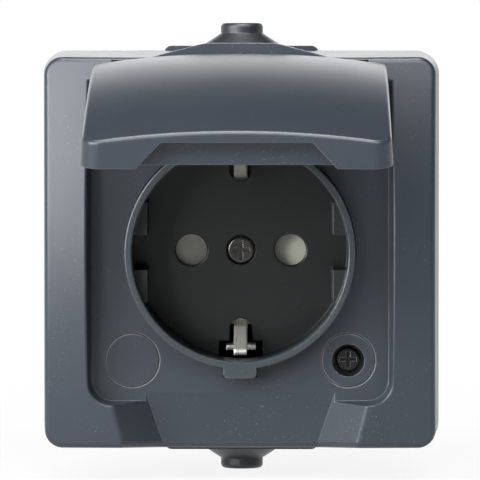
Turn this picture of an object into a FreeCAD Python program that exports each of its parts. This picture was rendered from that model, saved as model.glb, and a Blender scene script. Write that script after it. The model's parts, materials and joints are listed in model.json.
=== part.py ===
import FreeCAD, Part
import math
import os
import re
import Sketcher
from FreeCAD import Placement, Rotation, Vector

# Surface-mounted earthed wall socket with a hinged weather lid.
# The frame: origin at the middle of the wall face, +Z up, front towards -Y.
# A "depth" is the distance from the wall towards the front, so y = -depth.

doc = FreeCAD.newDocument("WeatherproofSocket")

# Driving dimensions in millimetres and degrees; a text is a formula in the other sizes
SIZES = {
    # How far a cut runs past the face it opens
    "cut_spare": 1.0,
    # Back box
    "box_setback": 2.05,
    "box_width": "housing_width - 2 * box_setback",
    "box_wall": 2.2,
    "box_floor": 2.4,
    "box_corner": 4.0,
    "flange_setback": 0.35,
    "flange_width": "housing_width - 2 * flange_setback",
    "flange_depth": 19.0,
    "flange_thickness": 2.5,
    "flange_front": "flange_depth + flange_thickness",
    "tongue_height": 3.5,
    "tongue_front": "flange_front + tongue_height",
    "boss_width": 30.0,
    "boss_rise": 0.95,
    "boss_reach": "housing_width / 2 + boss_rise",
    "boss_corner": 1.5,
    "entry_depth": 11.0,
    "entry_radius": 6.5,
    "entry_seat_radius": 9.0,
    "entry_lip": 2.5,
    "entry_seat_height": "boss_reach - entry_lip",
    "wall_hole_inset": 9.2,
    "wall_hole_pitch": "box_width - 2 * wall_hole_inset",
    "wall_hole_radius": 2.25,
    "wall_collar_radius": 4.2,
    "wall_collar_height": 2.0,
    # Housing seal
    "seal_thickness": 1.5,
    "seal_inset": 0.5,
    # Front housing
    "housing_width": "bed_width + 2 * frame_width",
    "housing_corner": 4.6,
    "housing_draft": 3.0,
    "housing_wall": 2.0,
    "crown_rise": 9.1,
    "crown_depth": "panel_depth + crown_rise",
    "dome_radius": 185.0,
    "dome_spare": 10.0,
    "front_edge_radius": 1.2,
    "front_edge_reach": 3.0,
    "rim_rise": 5.0,
    "panel_depth": "rim_depth - rim_rise",
    "panel_wall": 1.9,
    "cavity_drop": 4.1,
    "cavity_depth": "panel_depth - cavity_drop",
    "cavity_clearance": 0.4,
    "hump_cover": 0.5,
    "hump_top": "boss_reach + hump_cover",
    "hump_flat": 13.5,
    "hump_foot": 39.9,
    "hump_rise": 1.5,
    "hump_front": "panel_depth + hump_rise",
    "hump_shoulder": 9.0,
    "cavity_foot_inset": 3.2,
    "cavity_foot": "bed_foot - cavity_foot_inset",
    "cavity_head_inset": 6.1,
    "cavity_head": "hinge_height - cavity_head_inset",
    "frame_hollow_rise": 1.9,
    "frame_hollow_depth": "panel_depth + frame_hollow_rise",
    # Bed of the lid in the front housing
    "frame_width": 10.05,
    "bed_margin": 7.77,
    "bed_width": "2 * (well_radius + bed_margin)",
    "bed_foot": "well_radius + bed_margin",
    "bed_corner": 4.0,
    "bed_draft": 6.0,
    "bed_edge_round": 0.4,
    # Finger scoop
    "scoop_overlap": 1.6,
    "scoop_start": "bed_foot - scoop_overlap",
    "scoop_width": "notch_width",
    "scoop_end_inset": 0.95,
    "scoop_end": "housing_width / 2 - scoop_end_inset",
    "scoop_end_width": 28.8,
    "scoop_fall": 2.3,
    "scoop_flare": 1.2,
    # Hinge
    "hinge_setback": 4.15,
    "hinge_height": "housing_width / 2 - hinge_setback",
    "hinge_rise": 1.9,
    "hinge_depth": "panel_depth + hinge_rise",
    "nose_radius": 2.35,
    "nose_round": 2.2,
    "hinge_pin_radius": 1.1,
    "hinge_pin_length": 8.6,
    "hinge_barrel_radius": 2.1,
    "hinge_arm_width": 5.0,
    "hinge_arm_back": 1.9,
    "hinge_arm_inset": 6.4,
    "hinge_arm_place": "lid_width / 2 - hinge_arm_inset",
    "hinge_side_gap": 0.3,
    "running_gap": 0.05,
    "snap_mouth": 1.9,
    "lid_open_angle": 75.7,
    # Lid
    "lid_side_gap": 0.3,
    "lid_width": "bed_width - 2 * lid_side_gap",
    "lid_gap": 0.25,
    "lid_foot_gap": 0.5,
    "lid_lift": 0.3,
    "lid_skin": 1.45,
    "lid_corner": 3.4,
    "lid_draft": 3.0,
    "lid_edge_radius": 0.8,
    "notch_width": 36.0,
    "notch_top_width": 27.0,
    "notch_drop": 4.0,
    "notch_top_depth": "crown_depth - notch_drop",
    "inner_wall_setback": 2.8,
    "inner_wall_thickness": 1.2,
    "inner_wall_drop": 2.8,
    "inner_wall_top": "crown_depth - inner_wall_drop",
    "inner_wall_top_width": 28.0,
    "inner_wall_slope": 1.6,
    "inner_wall_side_top": "inner_wall_top - inner_wall_slope",
    # Lid seal
    "seal_ring_inset": 0.83,
    "seal_ring_inner": "well_radius - seal_ring_inset",
    "seal_ring_spread": 0.77,
    "seal_ring_outer": "well_radius + well_wall + seal_ring_spread",
    "seal_ring_drop": 2.9,
    "seal_ring_front": "crown_depth - seal_ring_drop",
    "seal_press_gap": 0.25,
    "seal_rib_thickness": 1.1,
    "seal_rib_height": 0.5,
    "seal_rib_depth": "seal_ring_front - seal_rib_height",
    # Plug well
    "face_gap": 6.0,
    "face_depth": "carrier_front + face_gap",
    "well_depth": 17.5,
    "rim_depth": "face_depth + well_depth",
    "well_radius": 20.43,
    "well_wall": 1.5,
    "well_floor": 2.2,
    "rim_round": 0.35,
    "well_gap": 0.15,
    "pot_flange_reach": 4.17,
    "pot_flange_radius": "well_radius + pot_flange_reach",
    "pot_flange_thickness": 1.8,
    "pot_seal_thickness": 1.4,
    "pin_pitch": 19.0,
    "pin_hole_radius": 3.0,
    "pin_hole_round": 0.3,
    "lug_width": 6.2,
    "lug_inset": 1.0,
    "lug_reach": "pot_flange_radius - lug_inset",
    "lug_round": 0.9,
    "guide_thickness": 2.83,
    "guide_flat": "well_radius - guide_thickness",
    "guide_height": 19.0,
    "guide_notch": 6.7,
    "guide_setback": 4.5,
    "guide_front": "rim_depth - guide_setback",
    "earth_slot_width": 4.4,
    "earth_slot_inner": "clip_tip - clip_room",
    "earth_window_width": 8.4,
    "clip_room": 0.7,
    "earth_window_inner": "clip_foot - clip_room",
    "earth_window_spare": 2.0,
    "earth_window_outer": "clip_foot + strap_thickness + earth_window_spare",
    "earth_window_rise": 6.5,
    "earth_window_front": "face_depth + earth_window_rise",
    "screw_ring_radius": 2.85,
    "screw_ring_depth": 0.9,
    "shutter_boss_radius": 2.4,
    # Contact carrier
    "terminal_margin": 5.0,
    "carrier_width": "2 * (terminal_place + terminal_margin)",
    "carrier_height": 32.6,
    "carrier_corner": 5.0,
    "carrier_back": 8.0,
    "carrier_depth": 18.0,
    "carrier_front": "carrier_back + carrier_depth",
    "chamber_radius": 3.6,
    "carrier_floor": 3.0,
    "chamber_back": "carrier_back + carrier_floor",
    # Earth bracket
    "strap_width": 7.4,
    "strap_thickness": 1.0,
    "strap_step": 4.5,
    "strap_waist": "clip_foot - strap_step",
    "clip_width": 2.5,
    "clip_foot_inset": 2.23,
    "clip_foot": "well_radius - clip_foot_inset",
    "clip_reach": 4.3,
    "clip_tip": "clip_foot - clip_reach",
    "clip_tip_rise": 6.0,
    "clip_tip_depth": "face_depth + clip_tip_rise",
    "clip_flare": 0.4,
    "clip_end": "clip_foot + clip_flare",
    "clip_end_rise": 11.0,
    "clip_end_depth": "face_depth + clip_end_rise",
    "clip_wing_width": 5.7,
    "clip_tip_round": 1.0,
    # Contacts
    "sleeve_outer": 3.1,
    "sleeve_inner": 2.35,
    "sleeve_drop": 3.0,
    "sleeve_length": "carrier_front - chamber_back - sleeve_drop",
    "sleeve_slot": 1.2,
    "tail_width": 4.0,
    "tail_thickness": 0.8,
    "tail_depth": "wire_window_back - terminal_gap",
    # Terminals
    "terminal_step": 8.5,
    "terminal_place": "pin_pitch / 2 + terminal_step",
    "terminal_width": 6.0,
    "terminal_height": 7.0,
    "terminal_depth": 10.0,
    "terminal_back": "terminal_front - terminal_depth",
    "terminal_front": "carrier_front - strap_thickness - earth_terminal_rise",
    "terminal_gap": 0.3,
    "terminal_wall": 1.5,
    "wire_window_back": "terminal_back + terminal_wall",
    "wire_window_width": 4.2,
    "terminal_screw_radius": 1.5,
    "terminal_head_radius": 2.2,
    "terminal_head_height": 1.4,
    "terminal_screw_length": 6.0,
    "earth_terminal_place": 11.6,
    "earth_terminal_rise": 1.0,
    # Shutter
    "shutter_gap": 0.35,
    "shutter_thickness": 1.6,
    "shutter_overlap": 4.1,
    "shutter_reach": "pin_pitch / 2 + shutter_overlap",
    "shutter_width": 8.6,
    "shutter_corner": 3.9,
    "shutter_hub_radius": 4.0,
    "spring_wire_radius": 0.25,
    "spring_leg": 8.0,
    # Screws
    "centre_screw_radius": 1.5,
    "centre_head_radius": 2.7,
    "centre_head_height": 1.3,
    "centre_head_round": 0.6,
    "centre_recess_width": 0.8,
    "centre_recess_length": 3.4,
    "centre_recess_depth": 0.9,
    "centre_screw_length": 11.0,
    "cover_screw_inset": 7.7,
    "cover_screw_place": "bed_width / 2 - cover_screw_inset",
    "cover_hole_radius": 3.1,
    "cover_sleeve_radius": 4.2,
    "cover_seat_drop": 4.5,
    "cover_seat_depth": "panel_depth - cover_seat_drop",
    "cover_seat_wall": 1.7,
    "cover_head_radius": 2.4,
    "cover_head_height": 2.0,
    "cover_head_round": 0.5,
    "cover_recess_width": 0.8,
    "cover_recess_length": 3.2,
    "cover_recess_depth": 1.2,
    "cover_screw_radius": 1.5,
    "cover_screw_length": 13.0,
    "cover_post_radius": 3.3,
    "witness_radius": 5.1,
    "witness_width": 0.35,
    "witness_cut": 0.2,
    "carrier_screw_inset_x": 5.4,
    "carrier_screw_x": "carrier_width / 2 - carrier_screw_inset_x",
    "carrier_screw_inset_z": 4.9,
    "carrier_screw_z": "carrier_height / 2 - carrier_screw_inset_z",
    "carrier_head_radius": 2.6,
    "carrier_head_height": 1.8,
    "carrier_seat_rise": 5.0,
    "carrier_seat_depth": "carrier_back + carrier_seat_rise",
    "carrier_screw_length": 8.0,
    "carrier_post_radius": 3.2,
    "screw_gap": 0.05,
    "screw_spare": 2.0,
    # Cable grommets
    "grommet_neck_gap": 0.05,
    "grommet_cone_radius": 7.8,
    "grommet_cap_radius": 4.1,
    "grommet_cone_height": 2.4,
    "grommet_cone_top": "boss_reach + grommet_cone_height",
    "grommet_cap_height": 2.0,
    "grommet_cap_top": "grommet_cone_top + grommet_cap_height",
    "grommet_cap_round": 0.8,
    "grommet_bore": 3.0,
    "grommet_skin": 1.0,
    "grommet_inner_radius": 8.4,
    "grommet_inner_thickness": 1.5,
}

sheet = doc.addObject("Spreadsheet::Sheet", "Sizes")
for row, (alias, value) in enumerate(SIZES.items(), start=1):
    sheet.set("A%d" % row, alias)
    sheet.setAlias("B%d" % row, alias)
for alias, value in SIZES.items():
    sheet.set(alias, "=" + value if isinstance(value, str) else str(value))
doc.recompute()


def sized(text):
    """Turn plain size names in a formula into references to the sheet."""
    def reference(word):
        return "Sizes." + word[0] if word[0] in SIZES else word[0]
    return re.sub(r"[a-z]\w*", reference, str(text))


def number(text):
    """The present value of a formula."""
    result = sheet.evalExpression(sized(text))
    return float(getattr(result, "Value", result))


# Two places closer than this are the same when edges are picked
TOUCH = 0.01
# An edge shorter than this is never taken for the side of a box
SHORT = 1.0


def bind(item, prop, formula):
    """Tie a property to a formula in the size names."""
    item.setExpression(prop, sized(formula))


def new_body(label):
    body = doc.addObject("PartDesign::Body", label)
    body.Label = label
    return body


def new_sketch(body, name, plane, offset="0"):
    """A sketch on one of the body's own origin planes, moved along its normal."""
    sketch = body.newObject("Sketcher::SketchObject", name)
    support = [feature for feature in body.Origin.OriginFeatures if feature.Role == plane][0]
    sketch.AttachmentSupport = (support, [""])
    sketch.MapMode = "FlatFace"
    bind(sketch, "AttachmentOffset.Base.z", offset)
    return sketch


def hold(sketch, kind, items, formula):
    """Add one dimension to a sketch and tie it to a formula."""
    index = sketch.addConstraint(Sketcher.Constraint(kind, *items, number(formula)))
    bind(sketch, "Constraints[%d]" % index, formula)


def outline(sketch, points):
    """A closed outline of straight lines through the points, each held from the origin."""
    corners = [Vector(number(across), number(up), 0) for across, up in points]
    first = sketch.GeometryCount
    count = len(corners)
    for step in range(count):
        sketch.addGeometry(Part.LineSegment(corners[step], corners[(step + 1) % count]), False)
    for step in range(count):
        following = first + (step + 1) % count
        sketch.addConstraint(Sketcher.Constraint("Coincident", first + step, 2, following, 1))
    for step, (across, up) in enumerate(points):
        hold(sketch, "DistanceX", (-1, 1, first + step, 1), across)
        hold(sketch, "DistanceY", (-1, 1, first + step, 1), up)


def circle(sketch, across, up, radius):
    """A circle held from the origin."""
    middle = Vector(number(across), number(up), 0)
    index = sketch.addGeometry(Part.Circle(middle, Vector(0, 0, 1), number(radius)), False)
    hold(sketch, "DistanceX", (-1, 1, index, 3), across)
    hold(sketch, "DistanceY", (-1, 1, index, 3), up)
    hold(sketch, "Radius", (index,), radius)


def rounded_rectangle(sketch, left, right, bottom, top, radius):
    """A rectangle with four equal round corners."""
    x0, x1, y0, y1 = number(left), number(right), number(bottom), number(top)
    r = number(radius)
    first = sketch.GeometryCount
    ends = [
        (Vector(x0 + r, y0, 0), Vector(x1 - r, y0, 0)),
        (Vector(x1, y0 + r, 0), Vector(x1, y1 - r, 0)),
        (Vector(x1 - r, y1, 0), Vector(x0 + r, y1, 0)),
        (Vector(x0, y1 - r, 0), Vector(x0, y0 + r, 0)),
    ]
    centres = [(x1 - r, y0 + r), (x1 - r, y1 - r), (x0 + r, y1 - r), (x0 + r, y0 + r)]
    for start, end in ends:
        sketch.addGeometry(Part.LineSegment(start, end), False)
    for turn, (cx, cy) in enumerate(centres):
        round_corner = Part.Circle(Vector(cx, cy, 0), Vector(0, 0, 1), r)
        begin = math.radians(270 + 90 * turn)
        sketch.addGeometry(Part.ArcOfCircle(round_corner, begin, begin + math.pi / 2), False)
    for step in range(4):
        arc = first + 4 + step
        sketch.addConstraint(Sketcher.Constraint("Tangent", first + step, 2, arc, 1))
        sketch.addConstraint(Sketcher.Constraint("Tangent", arc, 2, first + (step + 1) % 4, 1))
    sketch.addConstraint(Sketcher.Constraint("Horizontal", first))
    sketch.addConstraint(Sketcher.Constraint("Vertical", first + 1))
    for step in range(1, 4):
        sketch.addConstraint(Sketcher.Constraint("Equal", first + 4, first + 4 + step))
    hold(sketch, "Radius", (first + 4,), radius)
    hold(sketch, "DistanceY", (-1, 1, first, 1), bottom)
    hold(sketch, "DistanceX", (-1, 1, first + 1, 1), right)
    hold(sketch, "DistanceY", (-1, 1, first + 2, 1), top)
    hold(sketch, "DistanceX", (-1, 1, first + 3, 1), left)


def pad(body, name, sketch, length, draft=None):
    """Add the sketch's area along its plane's normal."""
    feature = body.newObject("PartDesign::Pad", name)
    feature.Profile = sketch
    bind(feature, "Length", length)
    if draft:
        bind(feature, "TaperAngle", draft)
    return feature


def pocket(body, name, sketch, length, forward=True, draft=None):
    """Cut the sketch's area, along its plane's normal or against it."""
    feature = body.newObject("PartDesign::Pocket", name)
    feature.Profile = sketch
    feature.Reversed = forward
    bind(feature, "Length", length)
    if draft:
        bind(feature, "TaperAngle", draft)
    return feature


def turn(body, name, sketch, cut=False):
    """Turn the sketch's area once round its own vertical axis."""
    feature = body.newObject("PartDesign::Groove" if cut else "PartDesign::Revolution", name)
    feature.Profile = sketch
    feature.ReferenceAxis = (sketch, ["V_Axis"])
    feature.Angle = 360
    return feature


DIRECTIONS = {
    "front": Rotation(Vector(1, 0, 0), 90),
    "right": Rotation(Vector(0, 1, 0), 90),
    "up": Rotation(),
}


def place(feature, across, depth, up, direction="up"):
    """Put a plain solid at a formula's place."""
    feature.Placement = Placement(Vector(), DIRECTIONS[direction])
    bind(feature, "Placement.Base.x", across)
    bind(feature, "Placement.Base.y", "-(%s)" % depth)
    bind(feature, "Placement.Base.z", up)


def rod(body, name, radius, length, across, depth, up, direction="front", cut=False):
    """A round bar or bore that starts at a place and runs in a direction."""
    kind = "Subtractive" if cut else "Additive"
    feature = body.newObject("PartDesign::%sCylinder" % kind, name)
    bind(feature, "Radius", radius)
    bind(feature, "Height", length)
    place(feature, across, depth, up, direction)
    return feature


def block(body, name, across, depths, heights, cut=False):
    """A box between two places on each axis."""
    kind = "Subtractive" if cut else "Additive"
    feature = body.newObject("PartDesign::%sBox" % kind, name)
    bind(feature, "Length", "(%s) - (%s)" % (across[1], across[0]))
    bind(feature, "Width", "(%s) - (%s)" % (depths[1], depths[0]))
    bind(feature, "Height", "(%s) - (%s)" % (heights[1], heights[0]))
    place(feature, across[0], depths[1], heights[0])
    return feature


def rounded(body, name, radius, chosen):
    """Round the edges of the body that the test picks."""
    doc.recompute()
    base = body.Tip
    every = enumerate(base.Shape.Edges, start=1)
    edges = ["Edge%d" % index for index, edge in every if chosen(edge)]
    feature = body.newObject("PartDesign::Fillet", name)
    feature.Base = (base, edges)
    bind(feature, "Radius", radius)
    return feature


def dome_cut(body, name, radius, height="0", depth_shift="0"):
    """Cut away all that stands in front of the ball surface with its crown on the well's axis."""
    sketch = new_sketch(body, name + "_sketch", "XY_Plane", height)
    doc.recompute()
    reach = number("housing_width")
    crown = number("crown_depth - dome_radius + (%s) - (%s)" % (radius, depth_shift))
    centre = number("crown_depth - dome_radius - (%s)" % depth_shift)
    r = number(radius)
    side = centre + math.sqrt(r ** 2 - reach ** 2)
    start = math.radians(270)
    ball = Part.Circle(Vector(0, -centre, 0), Vector(0, 0, 1), r)
    arc = Part.ArcOfCircle(ball, start, start + math.asin(reach / r))
    front = crown + number("dome_spare")
    sketch.addGeometry(arc, False)
    sketch.addGeometry(Part.LineSegment(Vector(reach, -side, 0), Vector(reach, -front, 0)), False)
    sketch.addGeometry(Part.LineSegment(Vector(reach, -front, 0), Vector(0, -front, 0)), False)
    sketch.addGeometry(Part.LineSegment(Vector(0, -front, 0), Vector(0, -crown, 0)), False)
    for joint in ((0, 2, 1, 1), (1, 2, 2, 1), (2, 2, 3, 1), (3, 2, 0, 1)):
        sketch.addConstraint(Sketcher.Constraint("Coincident", *joint))
    sketch.addConstraint(Sketcher.Constraint("PointOnObject", 0, 3, -2))
    sketch.addConstraint(Sketcher.Constraint("Vertical", 1))
    sketch.addConstraint(Sketcher.Constraint("Horizontal", 2))
    sketch.addConstraint(Sketcher.Constraint("Vertical", 3))
    hold(sketch, "Radius", (0,), radius)
    hold(sketch, "DistanceY", (-1, 1, 0, 3), "-(crown_depth - dome_radius - (%s))" % depth_shift)
    hold(sketch, "DistanceX", (-1, 1, 1, 1), "housing_width")
    top = "crown_depth - dome_radius + (%s) - (%s) + dome_spare" % (radius, depth_shift)
    hold(sketch, "DistanceY", (-1, 1, 2, 2), "-(%s)" % top)
    return turn(body, name, sketch, cut=True)


SIDES = ((-1, "left"), (1, "right"))
ENDS = ((1, "upper"), (-1, "lower"))
PAIR = ((1, "first"), (-1, "second"))


# Back box: an open tray with a flange, a tongue for the seal and two cable entries
def make_back_box():
    body = new_body("back_box")
    tray = new_sketch(body, "tray_outline", "XZ_Plane")
    half = "box_width / 2"
    rounded_rectangle(tray, "-" + half, half, "-" + half, half, "box_corner")
    pad(body, "tray", tray, "tongue_front")
    flange = new_sketch(body, "flange_outline", "XZ_Plane", "flange_depth")
    edge = "flange_width / 2"
    rounded_rectangle(flange, "-" + edge, edge, "-" + edge, edge,
                      "box_corner + (flange_width - box_width) / 2")
    pad(body, "flange", flange, "flange_front - flange_depth")
    block(body, "entry_bosses", ("-boss_width / 2", "boss_width / 2"), ("0", "flange_front"),
          ("-boss_reach", "boss_reach"))
    rounded(body, "boss_corners", "boss_corner",
            lambda edge: upright_corner(edge, "boss_width / 2", "boss_reach"))
    hollow = new_sketch(body, "hollow_outline", "XZ_Plane", "box_floor")
    inner = "(box_width / 2 - box_wall)"
    rounded_rectangle(hollow, "-" + inner, inner, "-" + inner, inner, "box_corner - box_wall")
    pocket(body, "hollow", hollow, "tongue_front")
    mouth = "(%s - box_wall)" % inner
    for sign, end in ENDS:
        for part_name, radius, length in (
            ("entry", "entry_radius", "boss_reach"),
            ("entry_seat", "entry_seat_radius", "(entry_seat_height - %s)" % mouth),
        ):
            low = mouth if sign > 0 else "-%s - %s" % (mouth, length)
            rod(body, end + "_" + part_name, radius, length, "0", "entry_depth", low, "up", cut=True)
    for sign, name in PAIR:
        x = "%d * cover_screw_place" % -sign
        z = "%d * cover_screw_place" % sign
        post_front = "cover_seat_depth - cover_seat_wall"
        rod(body, name + "_cover_post", "cover_post_radius", post_front + " - box_floor / 2",
            x, "box_floor / 2", z)
        rod(body, name + "_cover_thread", "cover_screw_radius + screw_gap",
            "cover_screw_length + screw_spare",
            x, "cover_seat_depth - cover_screw_length - screw_spare", z, cut=True)
        x = "%d * carrier_screw_x" % sign
        z = "%d * carrier_screw_z" % sign
        rod(body, name + "_carrier_post", "carrier_post_radius", "carrier_back - box_floor / 2",
            x, "box_floor / 2", z)
        rod(body, name + "_carrier_thread", "centre_screw_radius + screw_gap",
            "carrier_back - box_floor", x, "box_floor", z, cut=True)
        for other, place_name in PAIR:
            x = "%d * wall_hole_pitch / 2" % sign
            z = "%d * wall_hole_pitch / 2" % other
            rod(body, name + place_name + "_wall_collar", "wall_collar_radius",
                "box_floor / 2 + wall_collar_height", x, "box_floor / 2", z)
            rod(body, name + place_name + "_wall_hole", "wall_hole_radius",
                "2 * box_floor + wall_collar_height", x, "-box_floor / 2", z, cut=True)
    return body


def upright_corner(edge, half_width, half_height):
    """True for an edge along Y at the corners of a rectangle about the Y axis."""
    box = edge.BoundBox
    along = box.YLength > SHORT and box.XLength + box.ZLength < TOUCH
    near_x = abs(abs(box.Center.x) - number(half_width)) < TOUCH
    near_z = abs(abs(box.Center.z) - number(half_height)) < TOUCH
    return along and near_x and near_z


# Housing seal: a flat rubber frame round the tongue of the back box
def make_housing_seal():
    body = new_body("housing_seal")
    band = new_sketch(body, "band_outline", "XZ_Plane", "flange_front")
    outer = "(flange_width / 2 - seal_inset)"
    inner = "(box_width / 2)"
    rounded_rectangle(band, "-" + outer, outer, "-" + outer, outer,
                      "box_corner + %s - %s" % (outer, inner))
    rounded_rectangle(band, "-" + inner, inner, "-" + inner, inner, "box_corner")
    pad(body, "band", band, "seal_thickness")
    return body


# Front housing: a domed shell with the bed of the lid, a finger scoop and the hinge nose
def make_front_housing():
    body = new_body("front_housing")
    rear = "(flange_front + seal_thickness)"
    half = "housing_width / 2"
    shell = new_sketch(body, "shell_outline", "XZ_Plane", rear)
    rounded_rectangle(shell, "-" + half, half, "-" + half, half, "housing_corner")
    pad(body, "shell", shell, "crown_depth + housing_wall - " + rear, "-housing_draft")
    bed = new_sketch(body, "bed_outline", "XZ_Plane", "panel_depth")
    rounded_rectangle(bed, "-bed_width / 2", "bed_width / 2", "-bed_foot", "housing_width", "bed_corner")
    pocket(body, "bed", bed, "crown_depth - panel_depth + housing_wall", draft="bed_draft")
    band = new_sketch(body, "hinge_band_outline", "XZ_Plane", "cavity_depth")
    side = "(bed_width / 2 + housing_wall)"
    head = "housing_width / 2 - (cavity_depth - %s) * tan(housing_draft)" % rear
    low = "hinge_height - nose_radius - (panel_depth - cavity_depth) * tan(housing_draft)"
    outline(band, [("-" + side, low), (side, low), (side, head), ("-" + side, head)])
    pad(body, "hinge_band", band, "hinge_depth + nose_radius - cavity_depth", "-housing_draft")
    rounded(body, "hinge_nose", "nose_round", is_nose_edge)
    dome_cut(body, "dome", "dome_radius")
    finger_scoop(body)
    rounded(body, "front_edge", "front_edge_radius",
            lambda edge: is_front_edge(edge) or is_scoop_edge(edge))

    hump = new_sketch(body, "hump_outline", "XZ_Plane", rear)
    sill = "housing_width / 2 - housing_wall"
    outline(hump, [("-hump_foot / 2", sill), ("hump_foot / 2", sill), ("hump_flat / 2", "hump_top"),
                   ("-hump_flat / 2", "hump_top")])
    pad(body, "hump", hump, "hump_front - " + rear)
    rounded(body, "hump_shoulders", "hump_shoulder",
            lambda edge: upright_corner(edge, "hump_flat / 2", "hump_top"))

    hinge_slots(body)
    rounded(body, "bed_edge", "bed_edge_round", is_bed_edge)

    hollow = new_sketch(body, "hollow_outline", "XZ_Plane", rear)
    inner = "(box_width / 2 + cavity_clearance)"
    rounded_rectangle(hollow, "-" + inner, inner, "-" + inner, inner, "box_corner + cavity_clearance")
    pocket(body, "hollow", hollow, "cavity_depth - " + rear, draft="-housing_draft")
    frame_inner = "(housing_width / 2 - 2 * housing_wall)"
    block(body, "panel_hollow", ("-" + frame_inner, frame_inner),
          ("cavity_depth - cut_spare", "panel_depth - panel_wall"),
          ("-cavity_foot", "cavity_head"), cut=True)
    for sign, name in SIDES:
        near = "(bed_width / 2 + panel_wall)"
        across = (near, frame_inner) if sign > 0 else ("-" + frame_inner, "-" + near)
        block(body, name + "_frame_hollow", across, ("cavity_depth - cut_spare", "frame_hollow_depth"),
              ("-cavity_foot", "cavity_head"), cut=True)

    rod(body, "well_hole", "well_radius + well_wall + well_gap", "panel_depth",
        "0", "cavity_depth - cut_spare", "0", cut=True)
    block(body, "lug_notch", ("-lug_width / 2 - well_gap", "lug_width / 2 + well_gap"),
          ("cavity_depth - cut_spare", "panel_depth + cut_spare"),
          ("-lug_reach - well_gap", "-well_radius / 2"), cut=True)

    for sign, name in PAIR:
        x = "%d * cover_screw_place" % sign
        z = "%d * cover_screw_place" % -sign
        seat = "cover_seat_depth - cover_seat_wall"
        rod(body, name + "_screw_sleeve", "cover_sleeve_radius",
            "panel_depth - panel_wall / 2 - (%s)" % seat, x, seat, z)
        rod(body, name + "_screw_bore", "cover_hole_radius", "panel_depth",
            x, "cover_seat_depth", z, cut=True)
        rod(body, name + "_screw_hole", "cover_screw_radius + 2 * screw_gap", "panel_depth",
            x, "box_floor", z, cut=True)
    for sign, name in SIDES:
        ring = new_sketch(body, name + "_witness_outline", "XZ_Plane", "panel_depth")
        x = "%d * cover_screw_place" % sign
        circle(ring, x, "-cover_screw_place", "witness_radius + witness_width / 2")
        circle(ring, x, "-cover_screw_place", "witness_radius - witness_width / 2")
        pocket(body, name + "_witness_ring", ring, "witness_cut", forward=False)
    return body


def three_places(edge):
    """The start, the middle and the end of an edge."""
    first, last = edge.FirstParameter, edge.LastParameter
    return edge.valueAt(first), edge.valueAt((first + last) / 2), edge.valueAt(last)


def on_dome(place):
    """True for a place on the ball surface of the domed front."""
    middle = Vector(0, number("dome_radius - crown_depth"), 0)
    return abs((place - middle).Length - number("dome_radius")) < TOUCH


def is_front_edge(edge):
    """True for the edges where the domed front and the finger scoop meet the four sides."""
    places = three_places(edge)
    if all(on_dome(place) for place in places):
        behind = "flange_front"
    else:
        behind = "cavity_depth" if places[1].z < 0 else "hinge_depth"
    inside = number("housing_width / 2 - front_edge_reach")
    at_side = all(max(abs(place.x), abs(place.z)) > inside for place in places)
    return at_side and edge.BoundBox.YMax < -number(behind)


def is_scoop_edge(edge):
    """True for the two edges where the flanks of the finger scoop meet the domed front."""
    start, middle, end = three_places(edge)
    below_bed = max(start.z, end.z) < -number("bed_foot")
    runs_down = abs(start.z - end.z) > number("scoop_end - bed_foot") / 2
    on_dome = max(start.y, end.y) < -number("hinge_depth")
    return below_bed and runs_down and on_dome and abs(middle.x) < number("bed_width / 2")


def is_bed_edge(edge):
    """True for the front edges of the lid's bed: both sides and the two round lower corners."""
    start, middle, end = three_places(edge)
    on_dome = max(start.y, middle.y, end.y) < -number("hinge_depth")
    in_bed = -number("bed_foot") < middle.z < number("hinge_height")
    at_wall = abs(middle.x) < number("bed_width / 2 + housing_wall")
    return on_dome and in_bed and at_wall and abs(start.z - end.z) > number("bed_corner / 2")


def is_nose_edge(edge):
    """True for the long lower front edge of the hinge band."""
    box = edge.BoundBox
    front = abs(-box.YMin - number("hinge_depth + nose_radius")) < TOUCH
    low = box.Center.z < number("hinge_height")
    return front and low and box.XLength > number("bed_width / 2")


def finger_scoop(body):
    """The channel under the lid's notch: floor falling outwards, flanks flared to the front."""
    top = "crown_depth + housing_wall"
    sections = []
    for name, height, floor, width in (
        ("scoop_start_outline", "scoop_start", "panel_depth", "scoop_width"),
        ("scoop_end_outline", "scoop_end", "(panel_depth - scoop_fall)", "scoop_end_width"),
    ):
        sketch = new_sketch(body, name, "XY_Plane", "-" + height)
        wide = "(%s / 2 + scoop_flare * (%s - %s))" % (width, top, floor)
        outline(sketch, [("-%s / 2" % width, "-" + floor), (width + " / 2", "-" + floor),
                         (wide, "-(%s)" % top), ("-" + wide, "-(%s)" % top)])
        sections.append(sketch)
    scoop = body.newObject("PartDesign::SubtractiveLoft", "finger_scoop")
    scoop.Profile = sections[0]
    scoop.Sections = [sections[1]]
    scoop.Ruled = True


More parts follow.
